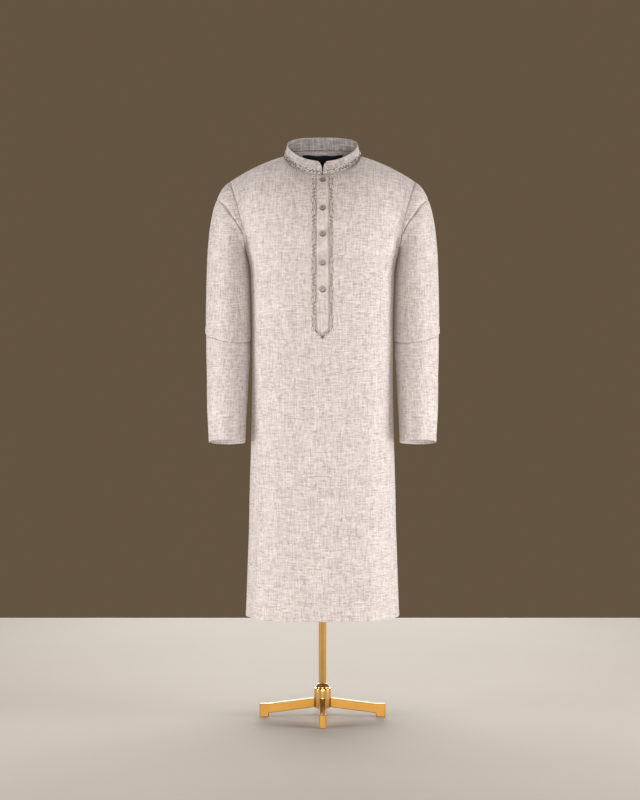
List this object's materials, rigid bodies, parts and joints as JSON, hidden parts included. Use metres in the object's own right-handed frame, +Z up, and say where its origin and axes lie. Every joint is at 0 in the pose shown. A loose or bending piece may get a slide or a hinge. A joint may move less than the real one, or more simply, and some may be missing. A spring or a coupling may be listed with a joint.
{
  "type": "kurta tunic on a brass display stand",
  "caption": "Long collarless kurta tunic with a band collar, half button placket and long sleeves, filled out on a slim brass stand with cross feet.",
  "frame": {"origin": "on the floor, on the axis of the stand's pole", "axes": "+Z up, -Y the garment's front, +X the wearer's left"},
  "size_m": [0.5396, 0.292, 1.3478],
  "materials": {
    "linen_cotton": "matte",
    "label_cloth": "matte",
    "button_horn": "satin",
    "brass": "polished"
  },
  "bodies": {
    "root": {"front_panel": "linen_cotton", "back_panel": "linen_cotton", "sleeve_left": "linen_cotton", "sleeve_right": "linen_cotton", "collar_band": "linen_cotton", "placket_strip": "linen_cotton", "neck_label": "label_cloth", "button_1": "button_horn", "button_2": "button_horn", "button_3": "button_horn", "button_4": "button_horn", "button_5": "button_horn", "stand_pole": "brass", "stand_hub": "brass", "pole_cone": "brass", "leg_left": "brass", "leg_back": "brass", "leg_right": "brass", "leg_front": "brass", "shoulder_yoke": "brass", "yoke_socket": "brass"}
  },
  "joints": []
}
